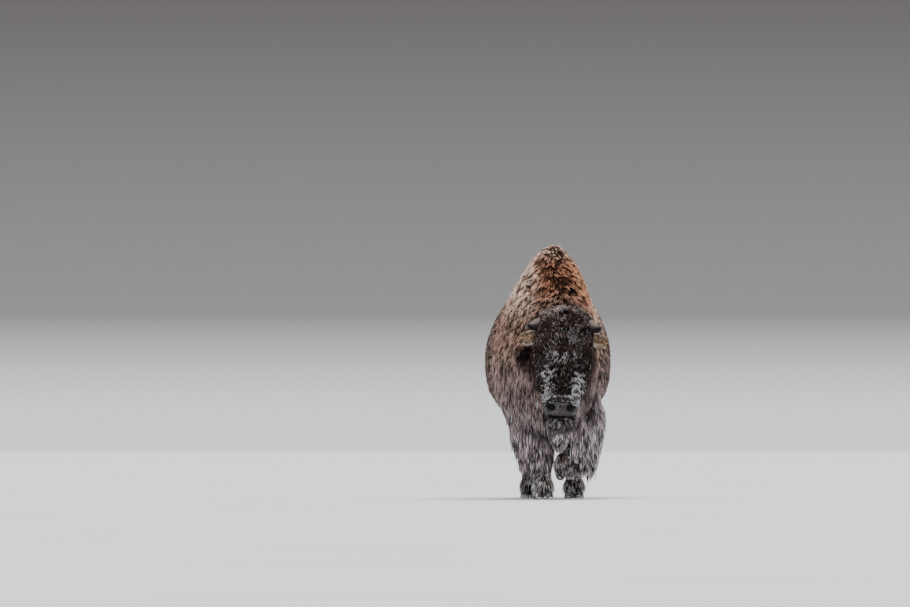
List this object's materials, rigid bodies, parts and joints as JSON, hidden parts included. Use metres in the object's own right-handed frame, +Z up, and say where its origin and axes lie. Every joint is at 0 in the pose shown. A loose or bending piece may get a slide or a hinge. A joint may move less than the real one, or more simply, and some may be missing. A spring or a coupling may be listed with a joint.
{
  "type": "walking bison bull",
  "caption": "Life-size standing model of a bison bull in winter coat, caught in a slow walk with its head low and one forefoot lifted.",
  "frame": {"origin": "centre of the bounding box in plan, on the ground plane under the soles", "axes": "+Z up; -Y the way the animal walks and faces; +X to the animal's left"},
  "size_m": [0.9007, 2.6243, 1.8005],
  "materials": {
    "cape_wool": "matte",
    "body_hair": "matte",
    "head_wool": "matte",
    "leg_hair": "matte",
    "ear_hair": "matte",
    "horn": "satin",
    "nose_skin": "satin",
    "hoof": "satin",
    "eye": "gloss"
  },
  "bodies": {
    "root": {"neck": "cape_wool", "shoulders": "cape_wool", "barrel": "body_hair", "rump": "body_hair", "head": "head_wool", "crown": "head_wool", "nose_pad": "nose_skin", "beard": "head_wool", "eye_left": "eye", "horn_left": "horn", "ear_left": "ear_hair", "eye_right": "eye", "horn_right": "horn", "ear_right": "ear_hair", "fore_right_upper": "leg_hair", "fore_right_lower": "leg_hair", "fore_right_claw_outer": "hoof", "fore_right_dewclaw_outer": "hoof", "fore_right_claw_inner": "hoof", "fore_right_dewclaw_inner": "hoof", "fore_left_upper": "leg_hair", "fore_left_lower": "leg_hair", "fore_left_lock": "leg_hair", "fore_left_claw_outer": "hoof", "fore_left_dewclaw_outer": "hoof", "fore_left_claw_inner": "hoof", "fore_left_dewclaw_inner": "hoof", "hind_right_upper": "leg_hair", "hind_right_lower": "leg_hair", "hind_right_claw_outer": "hoof", "hind_right_dewclaw_outer": "hoof", "hind_right_claw_inner": "hoof", "hind_right_dewclaw_inner": "hoof", "hind_left_upper": "leg_hair", "hind_left_lower": "leg_hair", "hind_left_claw_outer": "hoof", "hind_left_dewclaw_outer": "hoof", "hind_left_claw_inner": "hoof", "hind_left_dewclaw_inner": "hoof", "tail": "body_hair", "tail_tuft": "head_wool"}
  },
  "joints": []
}
